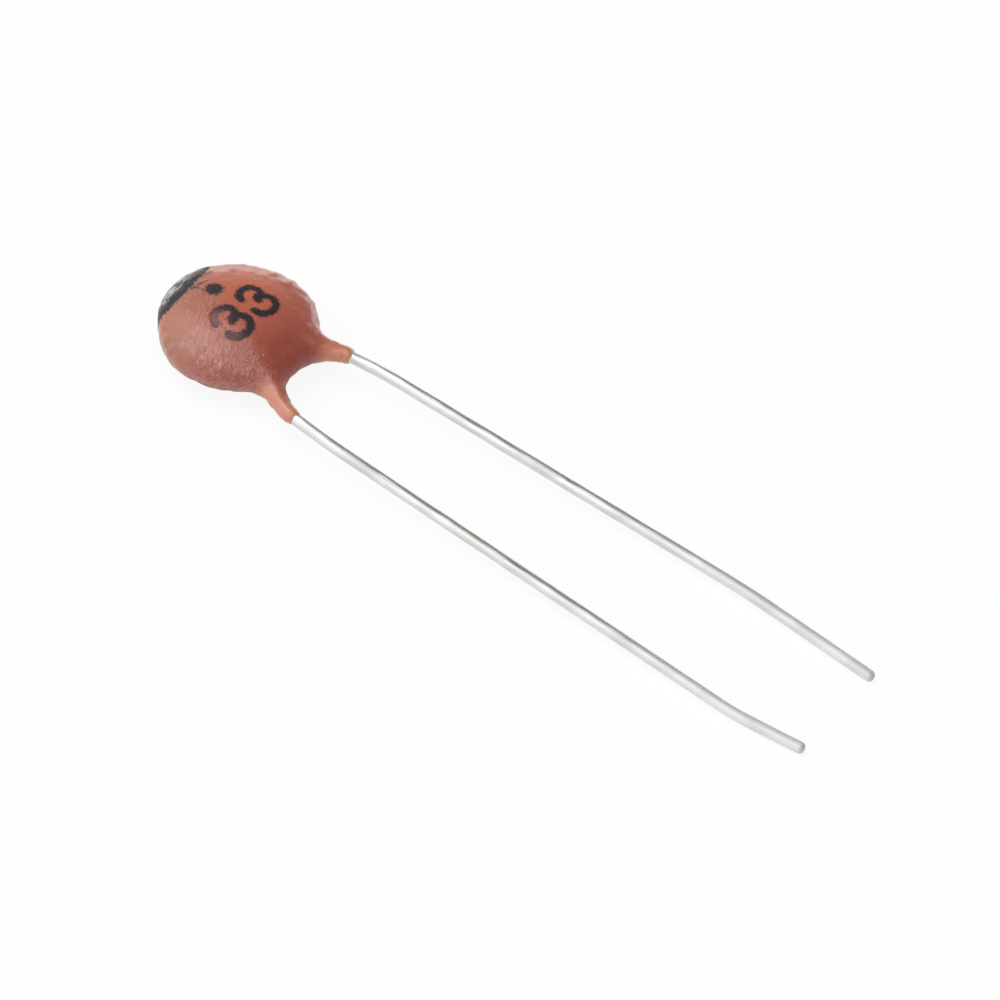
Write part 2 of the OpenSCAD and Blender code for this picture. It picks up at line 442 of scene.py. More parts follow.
@dataclass
class Skin:
    """A finished surface made from a grid of points."""

    name: str
    lay: Lay

    def build(self, grid: np.ndarray) -> bpy.types.Object:
        """Turns a grid of points into a smooth closed mesh.

        Neighbouring points of the grid make a four-sided face, and the last row joins the
        first. Points that coincide, as at seams and poles, become one.

        Args:
            grid: Points, rows by columns by 3, in the part's own frame.

        Returns:
            The object, whose place is in its mesh.
        """
        rows, columns = grid.shape[:2]
        here = np.arange(rows * columns).reshape(rows, columns)
        below = np.roll(here, -1, axis=0)
        corners = [here[:, :-1], below[:, :-1], below[:, 1:], here[:, 1:]]
        faces = np.stack(corners, axis=-1).reshape(-1, 4)
        mesh = bpy.data.meshes.new(self.name)
        mesh.from_pydata(self.lay.to_row(grid.reshape(-1, 3)), [], faces)
        work = bmesh.new()
        work.from_mesh(mesh)
        bmesh.ops.remove_doubles(work, verts=work.verts, dist=MM / 2000)
        bmesh.ops.recalc_face_normals(work, faces=work.faces)
        work.to_mesh(mesh)
        work.free()
        mesh.shade_smooth()
        made = bpy.data.objects.new(self.name, mesh)
        bpy.context.scene.collection.objects.link(made)
        return made

    def points(self, made: bpy.types.Object) -> np.ndarray:
        """Reads the points of a finished mesh.

        Args:
            made: The mesh's object.

        Returns:
            Points n by 3 in the part's own frame.
        """
        flat = np.empty(len(made.data.vertices) * 3)
        made.data.vertices.foreach_get("co", flat)
        return self.lay.to_own(flat.reshape(-1, 3))

    @staticmethod
    def keep(made: bpy.types.Object, places: dict[str, np.ndarray]) -> None:
        """Keeps named numbers at each point of a mesh, for its finish to read.

        Args:
            made: The mesh's object.
            places: The numbers by name.
        """
        for name, values in places.items():
            layer = made.data.attributes.new(name, "FLOAT", "POINT")
            layer.data.foreach_set("value", values.astype(np.float32))


@dataclass(frozen=True)
class LegLine:
    """Line on which a lead leaves the disc, in the disc's middle plane.

    It is straight up to the kink, where the wire bends towards the other lead, and goes on
    as the line of the coating's last stretch, the cuff.
    """

    side: Side
    splay: float
    kink: tuple[float, float]
    ease: float
    cuff: float
    bend_radius: float = 2.5
    half_room: float = 1.0
    cuff_half_room: float = 0.6
    elsewhere: float = 9.0

    def heading(self, angle: float) -> np.ndarray:
        """Direction away from the disc that spreads from +X by an angle in degrees."""
        a = math.radians(angle)
        return np.array([math.cos(a), self.side.value * math.sin(a)])

    @property
    def along(self) -> np.ndarray:
        """Direction of the line before the kink."""
        return self.heading(self.splay)

    @property
    def out(self) -> np.ndarray:
        """Direction square to the line, away from the other lead."""
        return np.array([-self.side.value * self.along[1], self.side.value * self.along[0]])

    @property
    def offset(self) -> float:
        """Distance from the middle of the disc to the line."""
        return float(np.dot(self.kink, self.out))

    @property
    def kink_at(self) -> float:
        """Distance along the line at which it bends."""
        return float(np.dot(self.kink, self.along))

    @property
    def end_at(self) -> float:
        """Distance along the line at which the coating ends."""
        return self.kink_at + self.cuff / math.cos(math.radians(self.ease))

    def point(self, s: Any) -> np.ndarray:
        """Points at distances s from the line's nearest point to the middle of the disc."""
        return self.offset * self.out + np.multiply.outer(s, self.along)

    def coordinates(self, p: np.ndarray) -> tuple[np.ndarray, np.ndarray]:
        """Distance along the line and outwards from it, for points n by 2 or more."""
        return p[..., :2] @ self.along, p[..., :2] @ self.out - self.offset

    def bent(self, p: np.ndarray) -> np.ndarray:
        """Bends the leg that was made along the straight line, with its wire.

        Past the start of the bend, a point keeps its distance from the line, and the line
        turns in by an angle of its further length over the bend's radius, up to the whole
        turn, and runs straight on from there.

        Args:
            p: Points, any shape by 3.

        Returns:
            The points, bent with the leg.
        """
        turn = math.radians(self.splay - self.ease)
        start = self.kink_at - self.bend_radius * math.tan(turn / 2)
        s, across = self.coordinates(p)
        further = np.maximum(s - start, 0.0)
        angle = np.minimum(further / self.bend_radius, turn)
        rest = further - angle * self.bend_radius
        cos, sin = np.cos(angle), np.sin(angle)
        forward = self.bend_radius * sin + rest * cos + across * sin
        inward = self.bend_radius * (1.0 - cos) + rest * sin - across * cos
        line = self.point(start)
        moved = line + forward[..., None] * self.along - inward[..., None] * self.out
        beyond = (s > start) & (np.abs(across) < self.half_room)
        plan = np.where(beyond[..., None], moved, p[..., :2])
        return np.concatenate([plan, p[..., 2:]], axis=-1)

    def to_end(self, p: np.ndarray) -> np.ndarray:
        """How far points lie back from the coating's end.

        Args:
            p: Points n by 3.

        Returns:
            The n distances, with a large one for what isn't on this leg.
        """
        onward = self.heading(self.ease)
        end = np.array(self.kink) + onward * self.cuff / onward[0]
        apart = p[..., :2] - end
        aside = np.abs(apart[..., 0] * onward[1] - apart[..., 1] * onward[0])
        return np.where(aside < self.cuff_half_room, -(apart @ onward), self.elsewhere)


LEFT_LEG = LegLine(Side.LEFT, splay=20.0, kink=(4.35, 1.87), ease=7.0, cuff=0.21)
RIGHT_LEG = LegLine(Side.RIGHT, splay=22.5, kink=(4.60, -2.40), ease=4.6, cuff=0.44)


# ---- Finishes ----------------------------------------------------------------------------


@dataclass(frozen=True)
class CoatingFinish:
    """Dipped resin: terracotta, faintly mottled, with an orange-peel sheen and black marks."""

    clay: Colour = (0.43, 0.098, 0.052)
    orange: Colour = (0.52, 0.122, 0.054)
    umber: Colour = (0.28, 0.046, 0.030)
    # Colour of painted sheen, laid in light streaks where the skin is coarse.
    painted_sheen: Colour = (0.52, 0.20, 0.15)
    # Colour of the painted sheen: a whitish haze on the upper rim.
    dust: Colour = (0.47, 0.285, 0.22)
    peach: Colour = (0.60, 0.235, 0.145)
    # Colour of painted glints.
    painted_glint: Colour = (0.80, 0.46, 0.33)
    ochre: Colour = (0.50, 0.22, 0.07)
    burnt: Colour = (0.24, 0.105, 0.045)
    ink: Colour = (0.016, 0.007, 0.011)
    worn_ink: Colour = (0.095, 0.070, 0.105)
    # Colour of painted sheen on the black tip.
    painted_tip_sheen: Colour = (0.46, 0.445, 0.43)

    def make(self) -> bpy.types.Material:
        """Builds the material.

        Returns:
            The material, which reads the coating's own mark and place attributes.
        """
        sh, made = Shader.material("dipped_resin")
        here = sh.place()
        broad = sh.noise(here, 0.55, 3.0, 0.55)
        mottle = sh.noise(here, 2.2, 4.0, 0.6, 0.4)
        grain = sh.noise(here, 11.0, 3.0, 0.6)
        streak = sh.noise(sh.place((7.5, 2.6, 7.5), (0, 0, 25)), 1.0, 3.0, 0.6, 0.5)
        kept = ("leg", "shade", "warm", "coarse", "dull", "stain", "tan", "dust", "edge")
        leg, shade, warm, coarse, dull, stain, tan, dust, edge = map(sh.attribute, kept)
        warm = warm * 0.8 + (broad - 0.5) * 0.9
        edge = edge + (grain - 0.5) * 0.06
        # Painted glints: small bright spots, laid where the skin is coarse.
        glint_spots = sh.cells(here, 4.0).ramp(0.08, 0.16, 1.0, 0.0) * grain.ramp(0.45, 0.55)
        browned = edge.ramp(0.0, 0.10, 0.7, 0.0).most(edge.ramp(0.0, 0.70, 0.35, 0.0))
        body = sh.layers(
            self.clay,
            (warm.ramp(0.0, 0.9), self.orange),
            (leg * 0.65, self.peach),
            # Painted shade over somewhat thicker, darker resin: in the saddle, ahead, to the right,
            # underneath and on the legs' inner sides.
            (shade * 0.95, self.umber),
            (mottle.ramp(0.50, 0.72) * 0.22, self.umber),
            # Painted sheen and painted shade: light and dark streaks where the relief is coarse,
            # for how its streaks catch the light.
            (streak.ramp(0.49, 0.63) * (0.05 + coarse * 0.55), self.painted_sheen),
            (streak.ramp(0.34, 0.48, 0.12, 0.0) * coarse, self.umber),
            (stain * grain.ramp(0.3, 0.6, 0.5, 0.9), self.burnt),
            (tan * 0.34, self.burnt),
            # Painted sheen: a whitish haze laid over the upper rim, in streaks.
            (dust * streak.ramp(0.3, 0.7, 0.2, 0.55), self.dust),
            # Painted glints over the coarse skin.
            (glint_spots * coarse.ramp(0.0, 0.3) * 0.8, self.painted_glint),
            (browned, self.ochre),
        )
        body, ink = self.marks(sh, here, body, grain)
        peel = sh.noise(here, 3.0, 3.0, 0.5, 0.3)
        pips = sh.cells(here, 1.7).ramp(0.03, 0.10, 1.0, 0.0)
        strong = (0.08 + coarse * 0.92) * (1.0 - ink * 0.75)
        heights = ((peel, 0.050), (streak, 0.130), (grain, 0.050), (pips, 0.030))
        relief = sh.relief(*((height * strong, depth) for height, depth in heights))
        rough = 0.36 + (mottle - 0.5) * 0.25 - leg * 0.06 + ink * 0.10 + dull * 0.12
        coat = (1.0 - ink) * (1.0 - dull * 0.85)
        sh.surface(body, rough, relief, IOR=1.5, Coat_Weight=coat, Coat_Roughness=0.26)
        return made

    def marks(self, sh: Shader, here: Value, body: Paint, grain: Value) -> tuple[Value, Value]:
        """Lays the stamped ink and the painted tip over the resin.

        Args:
            sh: The shader.
            here: Place in millimetres.
            body: Colour of the resin.
            grain: Fine noise of the resin.

        Returns:
            The marked colour and the share of ink.
        """
        ragged = sh.noise(here, 7.0, 3.0, 0.65)
        skips = sh.noise(here, 16.0, 2.0, 0.6)
        stamp = sh.attribute("stamp") + (ragged - 0.5) * 0.34
        worn = sh.attribute("worn")
        bare = skips.ramp(0.30, 0.66, 0.5, 1.0) * worn
        inked = stamp.ramp(-0.085, 0.065, 1.0, 0.0) * (1.0 - bare * 0.65)
        tip = sh.attribute("tip") + (ragged - 0.5) * 0.46
        streaks = sh.noise(sh.place((6.0, 1.6, 6.0), (0, 0, 12)), 1.0, 3.0, 0.6)
        outer = tip.ramp(-0.45, -0.15, 1.0, 0.25)
        thin = sh.attribute("thin") * outer * streaks.ramp(0.42, 0.58)
        painted = tip.ramp(-0.05, 0.05, 1.0, 0.0) * (1.0 - thin * 0.85)
        ink = inked.most(painted)
        # Painted sheen: pale grey streaks on the black tip's outer part, above the rim's middle.
        fine = sh.noise(sh.place((11.0, 2.2, 11.0), (0, 0, 8)), 1.0, 2.0, 0.6)
        tip_sheen_streaks = tip.ramp(-0.60, -0.26, 1.0, 0.0) * fine.ramp(0.40, 0.56, 0.1, 1.0)
        tone = sh.layers(
            self.ink,
            (worn * grain.ramp(0.30, 0.60, 0.6, 1.0), self.worn_ink),
            (tip_sheen_streaks * sh.attribute("upper"), self.painted_tip_sheen),
        )
        return sh.mix(ink, body, tone), ink


@dataclass(frozen=True)
class WireFinish:
    """Tinned copper wire: bright, softly streaked along its length, duller at the cut tip."""

    tin: Colour = (0.73, 0.74, 0.735)
    dull: Colour = (0.60, 0.595, 0.58)
    # Colour of the painted dim reflection along the wire's top.
    painted_dim_reflection: Colour = (0.47, 0.443, 0.425)
    cut: Colour = (0.46, 0.42, 0.44)

    def make(self) -> bpy.types.Material:
        """Builds the material.

        Returns:
            The material, which reads the wire's own cut and top attributes.
        """
        sh, made = Shader.material("tinned_copper")
        drawn = sh.noise(sh.place((0.5, 9.0, 9.0)), 1.0, 3.0, 0.6)
        cloud = sh.noise(sh.place((0.55, 1.3, 1.3)), 1.0, 1.0, 0.5, 0.3)
        pits = sh.noise(sh.place(), 7.0, 2.0, 0.5)
        cut = sh.attribute("cut")
        matte = cut.ramp(1.0, 14.0, 1.0, 0.0)
        top = sh.attribute("top") + (cloud - 0.5) * 0.35
        tin = sh.layers(
            self.tin,
            (cloud.ramp(0.42, 0.66) * 0.5, self.dull),
            (drawn.ramp(0.50, 0.70) * 0.25, self.dull),
            # Painted reflection: the wire's top darkened, as where it mirrors the dim room behind.
            (top.ramp(0.05, 0.90) * (0.95 - matte * 0.45), self.painted_dim_reflection),
            (cut.ramp(0.0, 0.16, 0.6, 0.0), self.cut),
        )
        relief = sh.relief(
            (cloud * (1.0 - matte * 0.5), 0.14),
            (drawn * (1.0 - matte), 0.0012),
            (pits * (1.0 - matte), 0.0012),
        )
        rough = 0.48 + (cloud - 0.5) * 0.2 + matte * 0.08
        sh.surface(tin, rough, relief, Metallic=1.0 - matte * 0.65)
        return made


@dataclass(frozen=True)
class CeramicFinish:
    """Fired titanate ceramic: pale buff, dense and faintly speckled."""

    pale: Colour = (0.66, 0.60, 0.47)
    dark: Colour = (0.50, 0.43, 0.32)

    def make(self) -> bpy.types.Material:
        """Builds the material.

        Returns:
            The material.
        """
        sh, made = Shader.material("fired_ceramic")
        here = sh.place()
        cloud = sh.noise(here, 1.5, 3.0, 0.6)
        grain = sh.noise(here, 18.0, 2.0, 0.6)
        dark = ((cloud.ramp(0.4, 0.6) * 0.5, self.dark), (grain.ramp(0.58, 0.68) * 0.5, self.dark))
        body = sh.layers(self.pale, *dark)
        sh.surface(body, 0.62 + (grain - 0.5) * 0.3, sh.relief((grain, 0.004)))
        return made


@dataclass(frozen=True)
class SilverFinish:
    """Screen-printed silver electrode: matte metal with the print's fine mesh in it."""

    silver: Colour = (0.78, 0.77, 0.74)
    tarnish: Colour = (0.58, 0.54, 0.46)

    def make(self) -> bpy.types.Material:
        """Builds the material.

        Returns:
            The material.
        """
        sh, made = Shader.material("fired_silver")
        here = sh.place()
        cloud = sh.noise(here, 1.1, 4.0, 0.6)
        weave = sh.relief((sh.cells(here, 9.0), 0.005))
        body = sh.mix(cloud.ramp(0.45, 0.65) * 0.6, self.silver, self.tarnish)
        sh.surface(body, 0.48 + (cloud - 0.5) * 0.3, weave, Metallic=0.9)
        return made


@dataclass(frozen=True)
class SolderFinish:
    """Solder mound: grey tin alloy, smooth with faint frost where it set."""

    bright: Colour = (0.66, 0.66, 0.67)
    frost: Colour = (0.48, 0.48, 0.49)

    def make(self) -> bpy.types.Material:
        """Builds the material.

        Returns:
            The material.
        """
        sh, made = Shader.material("set_solder")
        frost = sh.noise(sh.place(), 3.0, 4.0, 0.65, 0.6)
        body = sh.mix(frost.ramp(0.42, 0.62), self.bright, self.frost)
        rough = 0.28 + frost.ramp(0.42, 0.62, 0.0, 0.2)
        sh.surface(body, rough, sh.relief((frost, 0.012)), Metallic=1.0)
        return made


Finish = Union[CeramicFinish, SilverFinish, SolderFinish]


@dataclass(frozen=True)
class FloorFinish:
    """Plain white paper floor that keeps the part's shadow."""

    paper: Colour = (0.96, 0.96, 0.96)
    lift: float = 0.90
    mirrored: float = 0.56

    def make(self) -> bpy.types.Material:
        """Builds the material.

        Returns:
            Diffuse paper, mixed with a plain white glow for rays from the camera, from
            mirrors and through glass, so that the ground stays white in them.
        """
        sh, made = Shader.material("white_paper")
        diffuse = sh.node("ShaderNodeBsdfDiffuse", {}, {"Color": self.paper})
        glow = sh.node("ShaderNodeEmission", {}, {"Color": (1.0, 1.0, 1.0), "Strength": 1.0})
        seen = seen_directly(sh, self.mirrored)
        both = {0: seen * self.lift, 1: diffuse, 2: glow}
        sh.output(sh.node("ShaderNodeMixShader", {}, both))
        return made


def seen_directly(sh: Shader, mirrored: float) -> Value:
    """How much of a plain glow rays may see.

    Args:
        sh: The shader.
        mirrored: Share that mirrors see.

    Returns:
        1 for rays from the camera and through glass, less from mirrors, 0 for light
        itself.
    """
    camera, glossy, through = (
        sh.node("ShaderNodeLightPath", {}, {}, f"Is {kind} Ray")
        for kind in ("Camera", "Glossy", "Transmission")
    )
    return camera.most(glossy * mirrored).most(through)


# ---- Sub-assemblies ----------------------------------------------------------------------


@dataclass(frozen=True)
class Regions:
    """Where the coating's resin changes its look.

    Pairs of numbers are where something starts and where it is complete: along X (ahead),
    along Y (left) or against it (right), along Z (above) or against it (below), along the
    side's direction (aside), along or across a leg's line, or out from the disc's middle.
    """

    legs: tuple[LegLine, LegLine]
    leg_out: Span = (3.3, 4.1)
    shading: Spot = Spot(3.2, -0.3, 1.3)
    shade_ahead: Span = (0.4, 2.6)
    shade_right: Span = (2.2, 3.2)
    shade_below: Span = (-0.1, 0.9)
    crown: Spot = Spot(-0.6, 1.3, 1.7)
    web: Spot = Spot(3.7, -0.4, 1.1)
    inner_across: Span = (0.15, -0.25)
    inner_along: Span = (5.2, 4.2)
    inner_left: Span = (0.8, -0.8)
    side: tuple[float, float] = (0.84, 0.55)
    coarse_left: Span = (0.3, -1.8)
    coarse_lean: float = 0.3
    coarse_aside: Span = (-2.6, -0.9)
    tan_aside: Span = (-1.0, -2.4)
    dull_below: Span = (0.05, 0.55)
    stain: tuple[float, float, float] = (-1.34, -3.10, 0.14)
    stain_radius: float = 0.24
    stain_narrows: tuple[float, float, float] = (0.8, 1.0, 1.0)
    # Painted sheen on the rim: its azimuth, and where it starts out from the middle and above the
    # middle plane.
    painted_sheen: Bulge = Bulge(76.0, 36.0, 1.0)
    painted_sheen_out: Span = (2.5, 3.3)
    painted_sheen_above: Span = (-0.2, 0.3)

    def inside(self, p: np.ndarray) -> np.ndarray:
        """Inner sides of the legs, where they face each other.

        Args:
            p: Points n by 3.

        Returns:
            1 on them, fading on the left leg, and 0 elsewhere.
        """
        # These sides get painted shade and a duller shine.
        sides = []
        for line in self.legs:
            s, across = line.coordinates(p)
            sides.append(smooth(*self.inner_across, across) * smooth(*self.inner_along, s))
        return np.min(sides, axis=0) * smooth(*self.inner_left, p[:, 1])

    def read(self, p: np.ndarray) -> dict[str, np.ndarray]:
        """Where each point is, for the finish.

        Args:
            p: Points n by 3.

        Returns:
            leg: 0 on the disc and 1 along the legs; edge: distance to the nearer end of
                the coating; shade: 1 where the resin is darkest, partly as thicker resin and
                partly as painted shade in the saddle, ahead towards the legs, to the right,
                underneath and on the legs' inner sides; warm: 1 where it is thin and most
                orange; coarse: 1 where its skin is roughest; dull: 1 where it hardly shines;
            stain: 1 in the middle of the rim's brown spot; tan: 1 towards the side between
                that spot and the painted edge; dust: 1 where painted sheen lies on the
                upper rim, as a whitish haze.
        """
        x, y, z = p.T
        out = np.hypot(x, y)
        aside = p[:, :2] @ unit(np.array(self.side))
        leg, web, inner = smooth(*self.leg_out, out), self.web.at(p), self.inside(p)
        # Painted shade, partly thicker resin: darker in the saddle, ahead towards the legs, to the
        # right and underneath.
        shade = 0.9 * self.shading.at(p) + 0.45 * smooth(*self.shade_ahead, x)
        shade = shade + 0.35 * smooth(*self.shade_right, -y)
        shade = shade + smooth(*self.shade_below, -z) * 0.4
        coarse = smooth(*self.coarse_left, y + self.coarse_lean * x)
        coarse = coarse * (0.2 + 0.8 * smooth(*self.coarse_aside, aside))
        spot = np.linalg.norm((p - self.stain) * self.stain_narrows, axis=1)
        # Painted sheen: a whitish haze on the upper rim, away from the legs.
        painted_sheen = self.painted_sheen.at(azimuth_of(p)) * smooth(*self.painted_sheen_out, out)
        painted_sheen = painted_sheen * smooth(*self.painted_sheen_above, z)
        return {
            "leg": leg,
            "edge": np.minimum(*(line.to_end(p) for line in self.legs)),
            "shade": np.clip(shade * (1.0 - leg) + 0.75 * leg * inner, 0.0, 1.0),
            "warm": np.clip(self.crown.at(p) + leg, 0.0, 1.0),
            "coarse": coarse * (1.0 - 0.55 * np.maximum(leg, web)),
            "dull": np.maximum.reduce([smooth(*self.dull_below, -z), web, inner]),
            "stain": np.exp(-((spot / self.stain_radius) ** 2)),
            "tan": smooth(*self.tan_aside, aside),
            "dust": painted_sheen * (1.0 - leg),
        }


@dataclass
class Coating:
    """The dipped coating: a domed disc that runs out along both leads.

    Pairs of numbers are where something starts and where it is complete. In inner_merge
    and slant_along they are distances back from an end.
    """

    lay: Lay
    disc_radius: float = 3.4
    half_thickness: float = 1.3
    rim_radius: float = 0.75
    drawn_in: float = 0.055
    drawn_azimuth: float = -0.04
    drawn_width_squared: float = 0.16
    wire_radius: float = 0.25
    waist_radius: float = 0.43
    kink_radius: float = 0.355
    end_radius: float = 0.275
    leg_start: float = 0.5
    taper_start: float = 3.2
    end_roll: float = 0.05
    leg_blend: float = 0.75
    saddle_radius: float = 1.75
    saddle_middle: tuple[float, float] = (4.954, -0.209)
    saddle_half: float = 0.32
    saddle_blend: float = 0.55
    saddle_thins: Span = (3.2, 4.2)
    bulges: tuple[Bulge, ...] = (
        Bulge(60.0, 16.0, 0.065),
        Bulge(84.0, 6.0, 0.04),
        Bulge(108.0, 14.0, -0.03),
        Bulge(140.0, 16.0, -0.06),
        Bulge(-140.0, 18.0, -0.075),
        Bulge(-99.0, 15.0, 0.06),
    )
    facets: Bulge = Bulge(70.0, 35.0, 0.35)
    rim: Span = (2.3, 3.3)
    legs_calm: Span = (3.6, 4.2)
    swell: Ripple = Ripple(3, 3.2, 1.4)
    swell_height: float = 0.010
    lumps: Ripple = Ripple(11, 0.9, 0.4)
    lump_heights: tuple[float, float] = (0.003, 0.013)
    peel: Ripple = Ripple(29, 0.36, 0.2, 40)
    peel_height: float = 0.0022
    slant_along: Span = (0.5, 0.02)
    slant_half_room: float = 0.6
    slant: float = 0.025
    slant_turn: float = 2.4
    fray: float = 0.015
    fray_turn: float = 1.0
    branch_columns: int = 130
    crowding: float = 1.15
    back_columns: int = 180
    back_from_leg: float = 78.0
    merge_from_leg: float = 12.0
    outer_merge: Span = (3.45, 4.35)
    inner_merge: Span = (0.7, 0.05)
    section_rows: int = 111
    furthest: float = 5.0
    tallest: float = 2.0
    steps: int = 48
    halvings: int = 24
    slope_step: float = 0.004

    @property
    def legs(self) -> tuple[LegLine, LegLine]:
        """The lines of both legs."""
        return LEFT_LEG, RIGHT_LEG

    # -- Distances

    def disc_distance(self, p: np.ndarray) -> np.ndarray:
        """Signed distance to the domed disc.

        Each face is part of a large sphere, tangent to the torus of the rim. The disc is
        drawn in a little between the legs.

        Args:
            p: Points, any shape by 3.

        Returns:
            Signed distances, negative inside.
        """
        inner = self.disc_radius - self.rim_radius
        rise = self.half_thickness - self.rim_radius
        dome = (inner**2 + self.half_thickness**2 - self.rim_radius**2) / (2 * rise)
        sink = dome - self.half_thickness
        away = azimuth_of(p) - self.drawn_azimuth
        draw = 1.0 - self.drawn_in * np.exp(-(away**2) / self.drawn_width_squared)
        radial = np.hypot(p[..., 0], p[..., 1]) / draw
        height = np.abs(p[..., 2])
        on_dome = np.arctan2(radial, height + sink) < math.asin(inner / (dome - self.rim_radius))
        return np.where(
            on_dome,
            np.hypot(radial, height + sink) - dome,
            np.hypot(radial - inner, height) - self.rim_radius,
        )

    def leg_radius(self, leg: LegLine, s: np.ndarray) -> np.ndarray:
        """Radius of a leg.

        It tapers evenly from the waist to the kink, thins with the square of the distance
        along the cuff, and rolls in to the wire as a quarter ellipse at the very end.

        Args:
            leg: The leg's line.
            s: Distances along that line.

        Returns:
            The radii at those distances.
        """
        start, kink, end = self.taper_start, leg.kink_at, leg.end_at
        taper = np.clip((s - start) / (kink - start), 0.0, 1.0)
        thin = np.clip((s - kink) / (end - kink), 0.0, 1.0)
        radius = self.waist_radius + (self.kink_radius - self.waist_radius) * taper
        radius = radius + (self.end_radius - self.kink_radius) * thin**2
        roll = np.clip((s - end + self.end_roll) / self.end_roll, 0.0, 1.0)
        inside = 0.9 * self.wire_radius
        return inside + (radius - inside) * np.sqrt(1.0 - roll * roll)

    def leg_distance(self, leg: LegLine, p: np.ndarray) -> np.ndarray:
        """Signed distance to a leg: that from its line, less its radius.

        The line starts near the disc's middle.

        Args:
            leg: The leg's line.
            p: Points, any shape by 3.

        Returns:
            Signed distances, negative inside.
        """
        s, across = leg.coordinates(p)
        before = np.minimum(s - self.leg_start, 0.0)
        return np.sqrt(across**2 + p[..., 2] ** 2 + before**2) - self.leg_radius(leg, s)

    def saddle_distance(self, p: np.ndarray) -> np.ndarray:
        """Signed distance to the thin web between the legs.

        In plan the web lies between both legs' lines, outside the saddle's circle and no
        further out than where the circle comes closest to each line, and its edge is
        rounded.

        Args:
            p: Points, any shape by 3.

        Returns:
            Signed distances, negative inside.
        """
        apart = p[..., :2] - np.array(self.saddle_middle)
        sides = [self.saddle_radius - np.linalg.norm(apart, axis=-1)]
        for leg in self.legs:
            sides += [leg.coordinates(p)[1], apart @ leg.along]
        plan = np.maximum.reduce(sides)
        edge = self.saddle_half
        return np.hypot(np.maximum(plan + edge, 0.0), p[..., 2]) - edge

    def distance(self, p: np.ndarray) -> np.ndarray:
        """Signed distance to the whole coating, with soft fillets between its parts.

        Args:
            p: Points, any shape by 3.

        Returns:
            Signed distances, negative inside.
        """
        made = self.disc_distance(p)
        for leg in self.legs:
            made = smooth_union(made, self.leg_distance(leg, p), self.leg_blend)
        reach = self.saddle_blend * (1.0 - 0.8 * smooth(*self.saddle_thins, p[..., 0]))
        return smooth_union(made, self.saddle_distance(p), reach)

    # -- Grid

    def fork(self) -> np.ndarray:
        """Point where both legs' lines cross, behind the middle of the disc."""
        a, b = self.legs
        return np.linalg.solve(np.array([a.out, b.out]), np.array([a.offset, b.offset]))

    def branch(self, leg: LegLine) -> tuple[np.ndarray, np.ndarray, np.ndarray]:
        """Columns along one leg's line, from the fork to the leg's end.

        Outwards they aim round the disc, and inwards round the saddle's circle. Both turn
        straight across the line where the leg starts.

        Args:
            leg: The leg's line.

        Returns:
            The starts, the outward aims and the inward aims, each n by 2.
        """
        fork, middle = self.fork(), np.array(self.saddle_middle)
        end = leg.end_at + float((leg.point(np.array(0.0)) - fork) @ leg.along)
        t = np.linspace(0.0, 1.0, self.branch_columns)
        s = end * (1.0 - (1.0 - t) ** self.crowding)
        start = fork + np.multiply.outer(s, leg.along)
        base, spread = math.radians(leg.splay), math.radians(self.back_from_leg)
        near = base + math.radians(self.merge_from_leg)
        share = np.clip(s / self.outer_merge[1], 0.0, 1.0)
        angle = (base + spread) + (near - base - spread) * share
        keep = smooth(*self.outer_merge, s)[:, None]
        lean = unit(self.disc_radius * circle(angle, leg.side.value) - start)
        outer = unit(lean * (1.0 - keep) + leg.out * keep)
        touch = float((middle - fork) @ leg.along)
        centre = float(azimuth_of(fork - middle)) % math.tau
        first = float(azimuth_of(leg.out)) % math.tau
        angle = centre + (first - centre) * np.clip(s / touch, 0.0, 1.0)
        before, by = self.inner_merge
        keep = smooth(touch - before, touch - by, s)[:, None]
        lean = unit(middle + self.saddle_radius * circle(angle) - start)
        return start, outer, unit(lean * (1.0 - keep) - leg.out * keep)

    def columns(self) -> tuple[np.ndarray, np.ndarray]:
        """Start and aim of each column of the grid, in plan.

        The starts run along the fork of the legs' lines: in along the outside of the left
        leg, round the fork's point, out along the right leg's outside, in along its inside
        and out along the left leg's inside. The aims go round the outline.

        Returns:
            The starts and the aims, each n by 2.
        """
        (left, left_out, left_in), (right, right_out, right_in) = map(self.branch, self.legs)
        spread = math.radians(self.back_from_leg)
        first, last = (math.radians(leg.splay) + spread for leg in self.legs)
        fan = np.linspace(first, math.tau - last, self.back_columns)[1:-1]
        fork = self.fork()
        back = unit(self.disc_radius * circle(fan) - fork)
        parts = [
            (left[::-1], left_out[::-1]),
            (np.broadcast_to(fork, back.shape), back),
            (right, right_out),
            (right[::-1], right_in[::-1]),
            (left, left_in),
        ]
        start, aim = (np.concatenate(column) for column in zip(*parts))
        return start, aim

    def reach(self, start: np.ndarray, aim: np.ndarray, furthest: float) -> np.ndarray:
        """Distance from each start to the skin along its aim.

        The first of evenly spaced steps that is outside brackets the skin, and the bracket
        is then halved until it is far finer than the skin's detail.

        Args:
            start: Points n by 3.
            aim: Directions n by 3.
            furthest: Longest distance tried.

        Returns:
            The n distances.
        """
        steps = np.linspace(0.0, furthest, self.steps)
        low = np.zeros(len(start))
        found = np.zeros(len(start), bool)
        for a, b in zip(steps[:-1], steps[1:]):
            outside = self.distance(start + aim * b) > 0
            low = np.where(outside & ~found, a, low)
            found |= outside
        high = low + steps[1]
        for _ in range(self.halvings):
            half = (low + high) / 2
            outside = self.distance(start + aim * half[:, None]) > 0
            low, high = np.where(outside, low, half), np.where(outside, half, high)
        return (low + high) / 2

